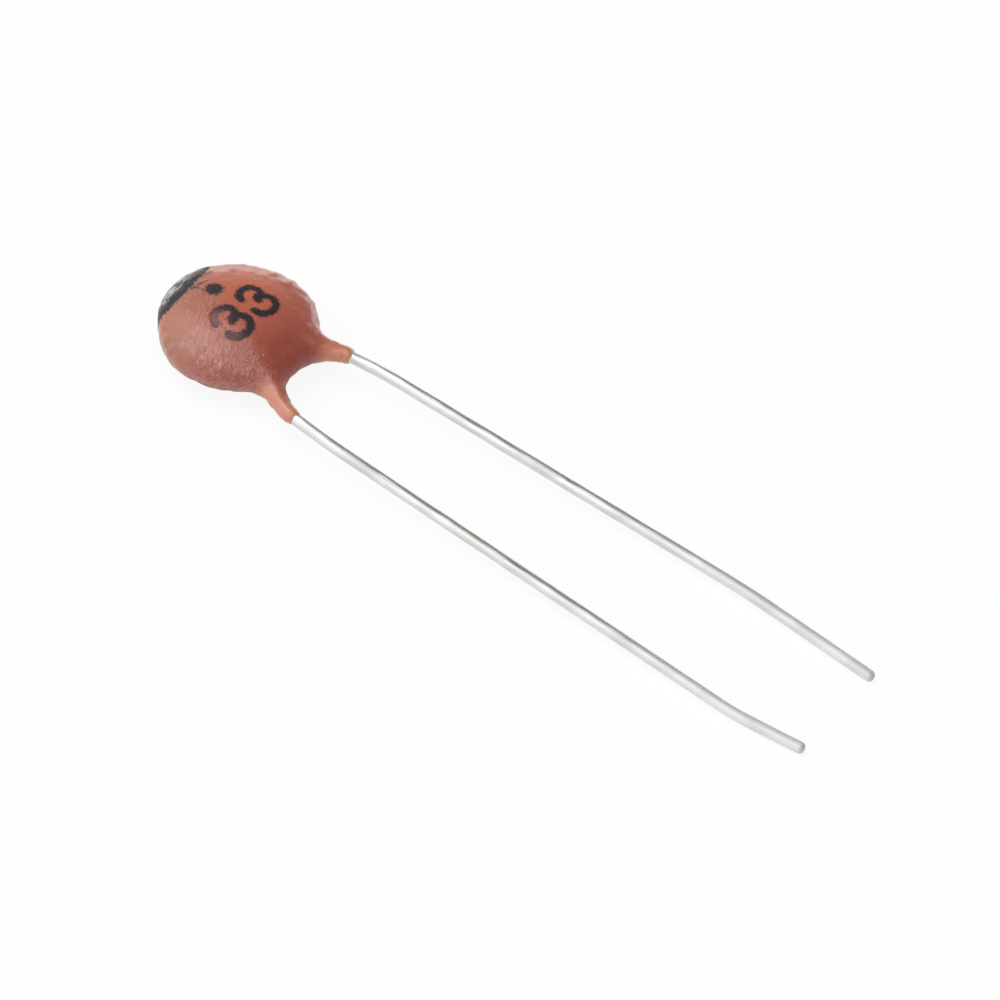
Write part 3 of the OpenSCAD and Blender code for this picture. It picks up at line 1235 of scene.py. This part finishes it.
    def grid(self) -> np.ndarray:
        """Points of the skin.

        Each column is a fan of rays from one point of the fork, in the upright plane of
        its aim, from straight down to straight up. The fan's flatness follows the section
        there, so that the points spread evenly.

        Returns:
            Points, columns by rows by 3.
        """
        start, level = (np.pad(column, ((0, 0), (0, 1))) for column in self.columns())
        up = np.broadcast_to([0.0, 0.0, 1.0], start.shape)
        wide = self.reach(start, level, self.furthest)[:, None, None]
        tall = self.reach(start, up, self.tallest)[:, None, None]
        turn = np.linspace(-math.pi / 2, math.pi / 2, self.section_rows)[None, :, None]
        rays = unit(wide * np.cos(turn) * level[:, None] + tall * np.sin(turn) * up[:, None])
        rays[:, 0], rays[:, -1] = (0.0, 0.0, -1.0), (0.0, 0.0, 1.0)
        origin = np.broadcast_to(start[:, None], rays.shape)
        far = self.reach(origin.reshape(-1, 3), rays.reshape(-1, 3), self.furthest)
        return origin + rays * far.reshape(*rays.shape[:2], 1)

    def normals(self, p: np.ndarray) -> np.ndarray:
        """Outward directions, from the slope of the distance.

        Args:
            p: Points, any shape by 3.

        Returns:
            A unit vector for each point.
        """
        steps = self.slope_step * np.eye(3)
        slope = [self.distance(p + step) - self.distance(p - step) for step in steps]
        return unit(np.stack(slope, axis=-1) + 1e-12)

    def uneven(self, p: np.ndarray) -> np.ndarray:
        """Unevenness of the dipped resin.

        Slow swells everywhere, small lumps that grow towards the rim, a faint peel, and
        the rim's own bulges.

        Args:
            p: Points, any shape by 3.

        Returns:
            Heights in millimetres.
        """
        rim = smooth(*self.rim, np.hypot(p[..., 0], p[..., 1]))
        azimuth = azimuth_of(p)
        bulge = rim * sum(b.at(azimuth) for b in self.bulges)
        calm = 1.0 - 0.6 * smooth(*self.legs_calm, p[..., 0])
        flat = p.reshape(-1, 3)
        swell, lumps, peel = (
            ripple.at(flat).reshape(rim.shape) for ripple in (self.swell, self.lumps, self.peel)
        )
        least, more = self.lump_heights
        lumps = (least + more * rim * (1.0 + self.facets.at(azimuth))) * lumps
        return bulge + calm * (self.swell_height * swell + lumps) + self.peel_height * peel

    def close_ends(self, grid: np.ndarray) -> np.ndarray:
        """Adds a column that closes each leg's end on its wire's middle.

        Args:
            grid: Points, columns by rows by 3.

        Returns:
            The grid with a column more for each leg.
        """
        first_right = 2 * self.branch_columns + self.back_columns - 2
        left, right = (
            np.broadcast_to([*leg.point(leg.end_at), 0.0], (1, *grid.shape[1:]))
            for leg in self.legs
        )
        return np.concatenate([left, grid[:first_right], right, grid[first_right:]])

    def slant_ends(self, p: np.ndarray) -> np.ndarray:
        """Slants the end of each leg, once round its wire, and frays it, three times round.

        Args:
            p: Points, any shape by 3.

        Returns:
            The points, moved along the legs.
        """
        for leg in self.legs:
            s, across = leg.coordinates(p)
            before, by = self.slant_along
            near = smooth(leg.end_at - before, leg.end_at - by, s)
            near = near * (np.abs(across) < self.slant_half_room)
            turn = np.arctan2(p[..., 2], across)
            slant = self.slant * np.cos(turn - self.slant_turn)
            slant = slant + self.fray * np.sin(3 * turn + self.fray_turn)
            p = p + (near * slant)[..., None] * np.array([*leg.along, 0.0])
        return p

    # -- Build and dress

    def build(self) -> bpy.types.Object:
        """Builds the skin, with its marks and places kept at its points.

        Returns:
            The finished object.
        """
        grid = self.grid()
        grid = grid + self.normals(grid) * self.uneven(grid)[..., None]
        grid = self.close_ends(self.slant_ends(grid))
        for leg in self.legs:
            grid = leg.bent(grid)
        skin = Skin("dipped_coating", self.lay)
        made = skin.build(grid)
        p = skin.points(made)
        skin.keep(made, Regions(self.legs).read(p) | Marks().read(p))
        return made

    def dress(self, made: bpy.types.Object) -> None:
        """Gives the skin its finish and its place in the part.

        Args:
            made: The skin's object.
        """
        made.data.materials.append(CoatingFinish().make())
        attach(made, "root")
        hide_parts("coating")


@dataclass(frozen=True)
class Digit:
    """A stamped figure 3 of two bowls, read with its top towards -X.

    Each bowl is part of an ellipse, given by how far down its middle lies, by its half
    height and half width, and by the angles at which it starts and ends, in degrees from
    the reader's right, anticlockwise.
    """

    middle: float
    top: tuple[float, ...] = (-0.10, 0.43, 0.49, 172.0, -88.0)
    bottom: tuple[float, ...] = (0.64, 0.47, 0.57, 82.0, -184.0)

    def strokes(self) -> list[np.ndarray]:
        """Middle lines of both bowls.

        Returns:
            The two lines, each n by 2.
        """
        lines = []
        for down, tall, wide, start, end in (self.top, self.bottom):
            a = np.radians(np.linspace(start, end, 40))
            line = [down - tall * np.sin(a), self.middle + wide * np.cos(a)]
            lines.append(np.stack(line, axis=-1))
        return lines


@dataclass(frozen=True)
class Marks:
    """Black marks on the upper face: a stamped number, a dot, and a painted far edge."""

    figures: tuple[Digit, Digit] = (Digit(-0.86), Digit(0.79))
    stroke: float = 0.192
    dot: tuple[float, float] = (-1.44, 0.12)
    dot_radius: float = 0.41
    dot_soft: float = 0.7
    strays: tuple[tuple[tuple[float, float], ...], ...] = (
        ((-2.28, -0.30), (-2.20, 0.02), (-2.06, 0.40)),
        ((-2.12, -0.12), (-1.84, -0.12), (-1.60, -0.20)),
        ((-2.42, 0.55), (-2.36, 1.05)),
    )
    stray_half: float = 0.05
    worn_first: Spot = Spot(-0.35, -1.25, 0.42)
    worn_last: Spot = Spot(0.75, -1.40, 0.40)
    lowest: float = 0.2
    tip_line: float = -2.42
    tip_wave: float = 0.06
    tip_slope: float = 0.02
    tip_corner: float = 0.5
    tip_corner_left: Span = (0.9, 2.0)
    tip_foot: float = 0.03
    tip_foot_right: Span = (1.3, 2.1)
    thin_left: Span = (0.2, 1.5)
    # Height above the middle plane at which the painted sheen on the black tip starts and is
    # complete.
    tip_sheen_above: Span = (0.10, 0.45)

    def read(self, p: np.ndarray) -> dict[str, np.ndarray]:
        """Distances to the marks' outlines, negative inside them.

        Args:
            p: Points n by 3.

        Returns:
            stamp: distance to the number, the dot and the stray strokes; worn: how worn
                the ink is; tip: distance to the painted edge; thin: how thinly it is painted;
            upper: 1 above the rim's middle, where painted sheen lies on the black tip.
        """
        x, y, z = p.T
        plan = p[:, :2]
        strokes = [line for figure in self.figures for line in figure.strokes()]
        number = np.min([segment_distance(plan, line) for line in strokes], axis=0)
        dot = np.linalg.norm(plan - self.dot, axis=1) - self.dot_radius
        strays = [segment_distance(plan, np.array(line)) for line in self.strays]
        stamp = np.minimum(number - self.stroke, self.dot_soft * dot)
        stamp = np.minimum(stamp, np.min(strays, axis=0) - self.stray_half)
        tip = self.tip_wave * np.sin(2.0 * y) + self.tip_slope * y
        tip = tip + self.tip_corner * smooth(*self.tip_corner_left, y)
        tip = tip - self.tip_foot * smooth(*self.tip_foot_right, -y)
        return {
            "stamp": np.where(z < self.lowest, 1.0, stamp),
            "worn": np.maximum(self.worn_first.at(p), 0.4 * self.worn_last.at(p)),
            "tip": x - self.tip_line + tip,
            "thin": smooth(*self.thin_left, y),
            "upper": smooth(*self.tip_sheen_above, z),
        }


@dataclass
class Lead:
    """One tinned wire, from its soldered end inside the coating to its cut tip.

    The long run starts at ease_at along X and spreads from +X by the run angle. The last
    stretch starts at bow_at and closes in by the close angle. Both angles are in degrees.
    """

    lay: Lay
    leg: LegLine
    ease_at: float
    run_angle: float
    bow_at: float
    bow_radius: float
    close_angle: float
    reach: float
    wire_radius: float = 0.25
    tip_round: float = 0.2
    overlap: float = 0.9
    face_height: float = 0.49
    ramp_start: float = 2.45
    ramp_end: float = 3.299
    ramp_bend: float = 0.6
    ease_bend: float = 20.0
    tin_height: float = 0.0035
    tin_stretch: tuple[float, float, float] = (0.25, 1.0, 1.0)
    top_width: Span = (42.0, 14.0)
    top_start: Span = (4.5, 8.0)
    around: int = 40
    cap_rings: int = 8
    spacing: float = 0.11

    @property
    def name(self) -> str:
        """CAD node that this lead stands for."""
        return f"lead_{self.leg.side.name.lower()}"

    def corners(self) -> np.ndarray:
        """Corners of the wire's route from its soldered end to its tip.

        Returns:
            Corners n by 3.
        """
        sign = self.leg.side.value
        plan = [
            self.leg.point(-self.overlap),
            self.leg.point(self.ramp_start),
            self.leg.point(self.ramp_end),
            np.array(self.leg.kink),
        ]
        for x, angle in (
            (self.ease_at, self.leg.ease),
            (self.bow_at, self.run_angle),
            (self.reach, -self.close_angle),
        ):
            heading = self.leg.heading(angle)
            plan.append(plan[-1] + heading * (x - plan[-1][0]) / heading[0])
        height = [sign * self.face_height] * 2 + [0.0] * 5
        return np.column_stack([plan, height])

    def path(self) -> np.ndarray:
        """Middle line of the wire: straights joined by arcs tangent to both.

        At a corner the arc starts and ends radius * tan(half the turn) away from it, and
        is swept about the centre that lies radius to the inside of its start.

        Returns:
            Points n by 3, about one spacing apart.
        """
        corner = self.corners()
        radii = [self.ramp_bend] * 2 + [self.leg.bend_radius, self.ease_bend, self.bow_radius]
        pieces, at = [], corner[0]
        for before, here, after, radius in zip(corner, corner[1:], corner[2:], radii):
            u, v = unit(here - before), unit(after - here)
            turn = math.acos(float(np.clip(u @ v, -1.0, 1.0)))
            inward = unit(v - (u @ v) * u)
            start = here - u * radius * math.tan(turn / 2)
            pieces.append(self.straight(at, start))
            a = np.linspace(0.0, turn, max(8, int(radius * turn / self.spacing)))[:-1, None]
            pieces.append(start + radius * (np.sin(a) * u + (1.0 - np.cos(a)) * inward))
            at = here + v * radius * math.tan(turn / 2)
        end = corner[-1] - self.tip_round * unit(corner[-1] - at)
        return np.concatenate([*pieces, self.straight(at, end), end[None]])

    def straight(self, a: np.ndarray, b: np.ndarray) -> np.ndarray:
        """Evenly spaced points from a up to, but without, b."""
        count = max(2, int(np.linalg.norm(b - a) / self.spacing))
        return a + np.linspace(0.0, 1.0, count, endpoint=False)[:, None] * (b - a)

    def grid(self) -> np.ndarray:
        """Points of the wire's skin.

        A circle is carried along the path, square to it. It swells and shrinks a little
        where the tin lies thicker or thinner. At the tip its radius follows a quarter
        circle down to a small flat, and both ends close on the middle line.

        Returns:
            Points, turns by stations by 3.
        """
        line = self.path()
        tangent = unit(np.gradient(line, axis=0))
        last, ahead = line[-1], tangent[-1]
        bend = np.linspace(0.0, math.pi / 2, self.cap_rings + 1)[1:]
        cap = last + self.tip_round * np.sin(bend)[:, None] * ahead
        body = np.full(len(line), self.wire_radius)
        rounded = self.wire_radius - self.tip_round + self.tip_round * np.cos(bend)
        radius = np.concatenate([[0.0], body, rounded, [0.0]])
        line = np.concatenate([line[:1], line, cap, cap[-1:]])
        onward = np.broadcast_to(ahead, (self.cap_rings + 1, 3))
        tangent = np.concatenate([tangent[:1], tangent, onward])
        side = unit(np.cross([0.0, 0.0, 1.0], tangent))
        up = np.cross(tangent, side)
        a = np.linspace(0.0, 2 * math.pi, self.around, endpoint=False)[:, None, None]
        ring = np.cos(a) * side + np.sin(a) * up
        skin = line + ring * self.wire_radius
        stretched = skin.reshape(-1, 3) * self.tin_stretch
        wave = Ripple(40 + self.leg.side.value, 1.6, 0.35).at(stretched)
        uneven = self.tin_height * wave.reshape(skin.shape[:2])
        return line + ring * (radius + uneven * (radius > 0))[..., None]

    def top_side(self, p: np.ndarray) -> np.ndarray:
        """How near points are to the wire's top line.

        Args:
            p: Points n by 3.

        Returns:
            1 on that line, eased out with the angle from it and towards the coating.
        """
        # The wire's finish lays a painted dim reflection along this top line.
        x, y, z = p.T
        line = self.path()
        across = y - np.interp(x, line[:, 0], line[:, 1])
        away = np.abs(np.degrees(np.arctan2(z, across)) - 90.0)
        return smooth(*self.top_width, away) * smooth(*self.top_start, x)

    def build(self) -> bpy.types.Object:
        """Builds the wire, and keeps its places for the finish at its points.

        They are the distance from the cut tip, and how near the wire's top a point is.

        Returns:
            The finished object.
        """
        skin = Skin(f"tinned_{self.name}", self.lay)
        made = skin.build(self.grid())
        p = skin.points(made)
        skin.keep(made, {"cut": self.reach - p[:, 0], "top": self.top_side(p)})
        return made

    def dress(self, made: bpy.types.Object, finish: bpy.types.Material) -> None:
        """Gives the wire its finish and its place in the part.

        Args:
            made: The wire's object.
            finish: Its material.
        """
        made.data.materials.append(finish)
        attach(made, "root")
        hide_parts(self.name)


@dataclass(frozen=True)
class Core:
    """The pieces sealed in the coating, which keep their solids and get a finish."""

    pieces: tuple[tuple[str, Finish, Slot], ...] = (
        ("ceramic_disc", CeramicFinish(), Slot.CERAMIC),
        ("electrode_top", SilverFinish(), Slot.SILVER),
        ("electrode_bottom", SilverFinish(), Slot.SILVER),
        ("solder_top", SolderFinish(), Slot.SOLDER),
        ("solder_bottom", SolderFinish(), Slot.SOLDER),
    )

    def dress(self) -> None:
        """Gives each solid its finish."""
        for node, finish, slot in self.pieces:
            solid = frame["nodes"][node]
            solid.data.materials.clear()
            solid.data.materials.append(finish.make())
            LOG.info("dressed %s", node)


# ---- Studio ------------------------------------------------------------------------------


@dataclass(frozen=True)
class Softbox:
    """A round area light, placed in metres and degrees about the part."""

    name: str
    azimuth: float
    elevation: float
    distance: float
    size: float
    brightness: float

    def build(self) -> None:
        """Builds the light, aimed at the row frame's origin.

        Its power is the brightness of its face, times pi, times the area of a square
        round it.
        """
        light = bpy.data.lights.new(self.name, "AREA")
        light.shape = "DISK"
        light.size = self.size
        light.energy = self.brightness * math.pi * self.size**2
        made = bpy.data.objects.new(self.name, light)
        towards = direction(self.azimuth, self.elevation)
        made.location = towards * self.distance
        made.rotation_euler = (-towards).to_track_quat("-Z", "Y").to_euler()
        bpy.context.scene.collection.objects.link(made)


@dataclass(frozen=True)
class Patch:
    """A part of the room that is brighter or dimmer, about a direction.

    It is eased out between two angles from its middle, and about its ceiling where it has
    one. All its angles are in degrees.
    """

    azimuth: float
    elevation: float
    inner: float
    outer: float
    light: Colour
    ceiling: float = 90.0
    ceiling_eases: float = 6.0

    def share(self, sh: Shader, towards: Value) -> Value:
        """Share of the patch in each direction.

        Args:
            sh: The world's shader.
            towards: Direction that is looked in.

        Returns:
            The share, from 0 to 1.
        """
        both = {0: towards, 1: tuple(direction(self.azimuth, self.elevation))}
        cosine = sh.node("ShaderNodeVectorMath", {"operation": "DOT_PRODUCT"}, both, "Value")
        inner, outer = (math.cos(math.radians(a)) for a in (self.inner, self.outer))
        share = cosine.ramp(outer, inner)
        if self.ceiling < 90.0:
            height = sh.node("ShaderNodeSeparateXYZ", {}, {"Vector": towards}, "Z")
            edges = (self.ceiling - self.ceiling_eases, self.ceiling + self.ceiling_eases)
            low, high = (math.sin(math.radians(a)) for a in edges)
            share = share * height.ramp(low, high, 1.0, 0.0)
        return share


def direction(azimuth: float, elevation: float) -> Vector:
    """Unit vector towards an azimuth, counted from -Y towards +X, and an elevation."""
    a, e = math.radians(azimuth), math.radians(elevation)
    return Vector((math.sin(a) * math.cos(e), -math.cos(a) * math.cos(e), math.sin(e)))


@dataclass
class Studio:
    """Floor, light, surroundings and camera, with lengths in metres and angles in degrees."""

    azimuth: float = 33.13
    elevation: float = 46.17
    roll: float = 5.98
    distance: float = 0.3
    view_width: float = 0.04076
    aim_right: float = -0.00008
    aim_up: float = -0.00031
    aim_height: float = 0.001
    floor_size: float = 3.0
    room: float = 0.66
    patches: tuple[Patch, ...] = (
        Patch(-65.0, 62.0, 20.0, 55.0, (1.62, 1.66, 1.66)),
        Patch(-28.0, 12.0, 18.0, 45.0, (1.30, 1.33, 1.32)),
        Patch(130.0, 32.0, 14.0, 42.0, (0.22, 0.20, 0.19)),
        Patch(-168.0, 35.0, 18.0, 50.0, (0.22, 0.20, 0.19)),
        Patch(172.0, 12.0, 4.0, 17.0, (0.9, 0.9, 0.9)),
        Patch(-155.0, 0.0, 55.0, 95.0, (2.8, 2.8, 2.8), 6.0),
    )
    key: Softbox = Softbox("key", -90.0, 66.0, distance=0.45, size=0.20, brightness=1.7)

    def camera(self) -> None:
        """Places the camera so that the width of its view at the part is as given."""
        towards = direction(self.azimuth, self.elevation)
        turn, roll = math.radians(self.azimuth), math.radians(self.roll)
        level = Vector((math.cos(turn), math.sin(turn), 0.0))
        upright = towards.cross(level)
        right = math.cos(roll) * level + math.sin(roll) * upright
        up = math.cos(roll) * upright - math.sin(roll) * level
        aim = Vector((0, 0, self.aim_height)) + right * self.aim_right + up * self.aim_up
        data = bpy.data.cameras.new("camera")
        data.sensor_width = 36.0
        data.lens = data.sensor_width * self.distance / self.view_width
        data.clip_start, data.clip_end = 0.01, 10.0
        made = bpy.data.objects.new("camera", data)
        made.location = aim + towards * self.distance
        made.rotation_euler = Matrix((right, up, towards)).transposed().to_euler()
        bpy.context.scene.collection.objects.link(made)
        bpy.context.scene.camera = made

    def floor(self) -> None:
        """Builds the floor at the height that the part rests on."""
        half = self.floor_size / 2
        corners = [(-half, -half, 0), (half, -half, 0), (half, half, 0), (-half, half, 0)]
        mesh = bpy.data.meshes.new("floor")
        mesh.from_pydata(corners, [], [(0, 1, 2, 3)])
        mesh.materials.append(FloorFinish().make())
        made = bpy.data.objects.new("floor", mesh)
        bpy.context.scene.collection.objects.link(made)

    def surroundings(self) -> None:
        """Lights the room: bright over the front, dim high up behind, bright low behind."""
        world = bpy.data.worlds.new("room")
        world.use_nodes = True
        bpy.context.scene.world = world
        sh = Shader(world.node_tree)
        towards = sh.node("ShaderNodeTexCoord", {}, {}, "Generated")
        patches = ((patch.share(sh, towards), patch.light) for patch in self.patches)
        room = sh.layers((self.room,) * 3, *patches)
        camera = sh.node("ShaderNodeLightPath", {}, {}, "Is Camera Ray")
        shown = sh.mix(camera, room, (1.0, 1.0, 1.0))
        background = sh.node("ShaderNodeBackground", {}, {"Color": shown, "Strength": 1.0})
        sh.output(background, "ShaderNodeOutputWorld")

    def build(self) -> None:
        """Builds the whole studio."""
        self.camera()
        self.floor()
        self.surroundings()
        self.key.build()
        bpy.context.scene.view_settings.view_transform = "Standard"


def main() -> None:
    """Builds and dresses the capacitor in its studio."""
    logging.basicConfig(level=logging.INFO, format="%(name)s: %(message)s")
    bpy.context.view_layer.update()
    Studio().build()
    lay = Lay.from_frame()
    coating = Coating(lay)
    skin = coating.build()
    coating.dress(skin)
    LOG.info("%s: %d faces", skin.name, len(skin.data.polygons))
    tin = WireFinish().make()
    left = Lead(
        lay, LEFT_LEG, ease_at=6.2, run_angle=1.52, bow_at=24.6, bow_radius=40.0,
        close_angle=2.5, reach=31.0,
    )
    right = Lead(
        lay, RIGHT_LEG, ease_at=6.9, run_angle=1.23, bow_at=28.0, bow_radius=12.0,
        close_angle=7.1, reach=31.14,
    )
    for lead in (left, right):
        wire = lead.build()
        lead.dress(wire, tin)
        LOG.info("%s: %d faces", wire.name, len(wire.data.polygons))
    Core().dress()


if __name__ == "__main__":
    main()
